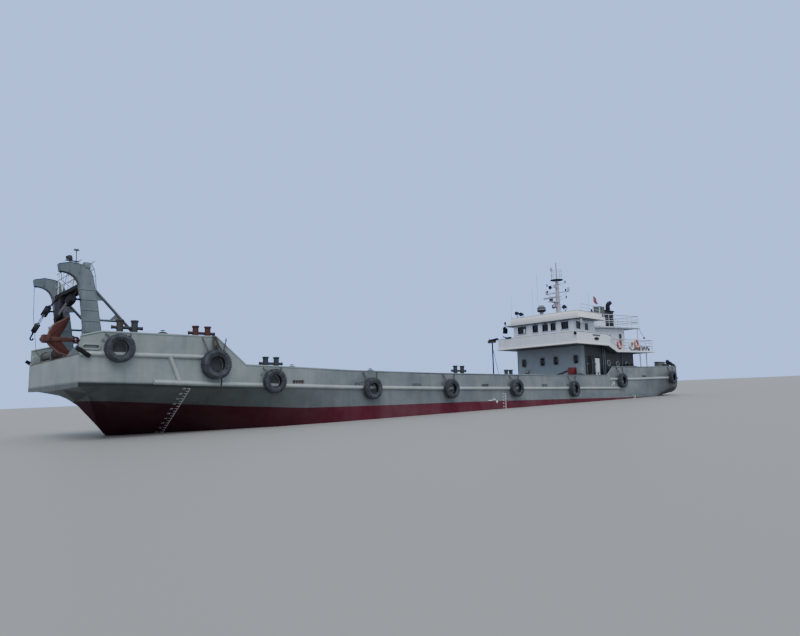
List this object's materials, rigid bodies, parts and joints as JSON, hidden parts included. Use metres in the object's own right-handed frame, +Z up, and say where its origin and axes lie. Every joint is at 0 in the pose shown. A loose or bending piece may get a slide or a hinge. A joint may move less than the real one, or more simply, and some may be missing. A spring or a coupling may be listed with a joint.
{
  "type": "1:2 scale model of a self-propelled river deck barge",
  "caption": "Long flat-decked river barge with high bow bulwarks, a curved anchor gantry, tyre fenders, and a stern house with wheelhouse, mast and funnel, afloat at its waterline.",
  "frame": {"origin": "on the centre line in the plane of the water, a little forward of the middle of the length", "axes": "+X to the bow, +Y to port, +Z up; the water is the plane z = 0 and the vessel floats 1.4 degrees down by the stern"},
  "size_m": [25.9344, 4.28, 6.661],
  "materials": {
    "antifouling": "matt, weathered dark red bottom paint",
    "hull_grey": "weathered grey-green enamel with rust runs",
    "deck_paint": "matt, worn brown deck paint",
    "house_grey": "satin grey paint",
    "white": "satin white paint, weathered",
    "black": "satin black paint",
    "green": "matt dark green paint",
    "rust": "rusty",
    "steel": "bare and greasy",
    "bronze": "dull bronze",
    "rubber": "worn tyres and black rubber on grey strakes",
    "glass": "dark tinted"
  },
  "bodies": {
    "vessel": {"hull_bottom": "antifouling", "hull_topsides": "hull_grey", "main_engines": "steel", "stern_tube_port": "steel", "stern_tube_starboard": "steel", "main_deck": "deck_paint", "foredeck": "deck_paint", "quarterdeck": "deck_paint", "bulwark_port": "hull_grey", "bulwark_starboard": "hull_grey", "fender_belt_port": "rubber", "fender_belt_starboard": "rubber", "gantry_arm_port": "hull_grey", "gantry_arm_starboard": "hull_grey", "gantry_catwalk": "white", "tackle_port": "black", "tackle_starboard": "black", "anchor": "rust", "roller_stand": "rust", "windlass_frame": "green", "deckhouse_walls": "house_grey", "bridge_deck": "white", "bridge_deck_railing": "white", "top_deck": "white", "top_deck_railing": "white", "wheelhouse_walls": "white", "wheelhouse_front_glass": "glass", "cabin_walls": "white", "wheelhouse_roof": "white", "funnel": "black", "exhaust_pipe": "black", "vent_casing": "green", "mast": "white", "antenna_dome": "white", "liferaft": "white", "stern_locker": "green"},
    "propeller_port": {"propeller_port": "bronze"},
    "propeller_starboard": {"propeller_starboard": "bronze"},
    "rudder_port": {"rudder_port": "antifouling"},
    "rudder_starboard": {"rudder_starboard": "antifouling"},
    "bow_roller": {"bow_roller": "steel"},
    "windlass_drum": {"windlass_drum": "steel"},
    "hatch_lid_1": {"hatch_lid_1": "deck_paint"},
    "hatch_lid_2": {"hatch_lid_2": "deck_paint"},
    "house_door_fore": {"house_door_fore": "house_grey"},
    "house_door_aft": {"house_door_aft": "white"},
    "house_door_starboard": {"house_door_starboard": "white"},
    "wheelhouse_door_port": {"wheelhouse_door_port": "white"},
    "wheelhouse_door_starboard": {"wheelhouse_door_starboard": "white"},
    "radar_scanner": {"radar_scanner": "white"},
    "stern_capstan": {"stern_capstan": "steel"}
  },
  "joints": [
    {"name": "port_propeller_spin", "type": "hinge", "parent": "vessel", "child": "propeller_port", "pos_m": [-10.28813, 0.8, -0.61154], "axis": [0.9997, 0, 0.0244], "continuous": true},
    {"name": "starboard_propeller_spin", "type": "hinge", "parent": "vessel", "child": "propeller_starboard", "pos_m": [-10.28813, -0.8, -0.61154], "axis": [0.9997, 0, 0.0244], "continuous": true},
    {"name": "port_rudder_turn", "type": "hinge", "parent": "vessel", "child": "rudder_port", "pos_m": [-11.03815, 0.8, -0.61987], "axis": [-0.0244, 0, 0.9997], "range_deg": [-35, 35]},
    {"name": "starboard_rudder_turn", "type": "hinge", "parent": "vessel", "child": "rudder_starboard", "pos_m": [-11.03815, -0.8, -0.61987], "axis": [-0.0244, 0, 0.9997], "range_deg": [-35, 35]},
    {"name": "bow_roller_spin", "type": "hinge", "parent": "vessel", "child": "bow_roller", "pos_m": [12.77124, -0.55, 1.74255], "axis": [0, 1, 0], "continuous": true},
    {"name": "windlass_drum_spin", "type": "hinge", "parent": "vessel", "child": "windlass_drum", "pos_m": [10.65747, 0, 1.87094], "axis": [0, 1, 0], "continuous": true},
    {"name": "fore_hatch_open", "type": "hinge", "parent": "vessel", "child": "hatch_lid_1", "pos_m": [5.95089, 0, 1.05941], "axis": [0, -1, 0], "range_deg": [0, 95]},
    {"name": "aft_hatch_open", "type": "hinge", "parent": "vessel", "child": "hatch_lid_2", "pos_m": [-1.44584, 0, 0.83522], "axis": [0, -1, 0], "range_deg": [0, 95]},
    {"name": "house_door_fore_swing", "type": "hinge", "parent": "vessel", "child": "house_door_fore", "pos_m": [-5.06904, 1.5875, 1.12649], "axis": [0.0244, 0, -0.9997], "range_deg": [0, 100]},
    {"name": "house_door_aft_swing", "type": "hinge", "parent": "vessel", "child": "house_door_aft", "pos_m": [-5.61887, 1.5875, 1.11305], "axis": [0.0244, 0, -0.9997], "range_deg": [0, 100]},
    {"name": "house_door_starboard_swing", "type": "hinge", "parent": "vessel", "child": "house_door_starboard", "pos_m": [-5.61887, -1.5875, 1.11305], "axis": [-0.0244, 0, 0.9997], "range_deg": [0, 100]},
    {"name": "wheelhouse_door_port_swing", "type": "hinge", "parent": "vessel", "child": "wheelhouse_door_port", "pos_m": [-5.28185, 1.4225, 2.67175], "axis": [0.0244, 0, -0.9997], "range_deg": [0, 100]},
    {"name": "wheelhouse_door_starboard_swing", "type": "hinge", "parent": "vessel", "child": "wheelhouse_door_starboard", "pos_m": [-5.28185, -1.4225, 2.67175], "axis": [-0.0244, 0, 0.9997], "range_deg": [0, 100]},
    {"name": "radar_spin", "type": "hinge", "parent": "vessel", "child": "radar_scanner", "pos_m": [-5.30302, 0, 4.15168], "axis": [-0.0244, 0, 0.9997], "continuous": true},
    {"name": "capstan_spin", "type": "hinge", "parent": "vessel", "child": "stern_capstan", "pos_m": [-11.7246, 0, 0.8638], "axis": [-0.0244, 0, 0.9997], "continuous": true}
  ]
}
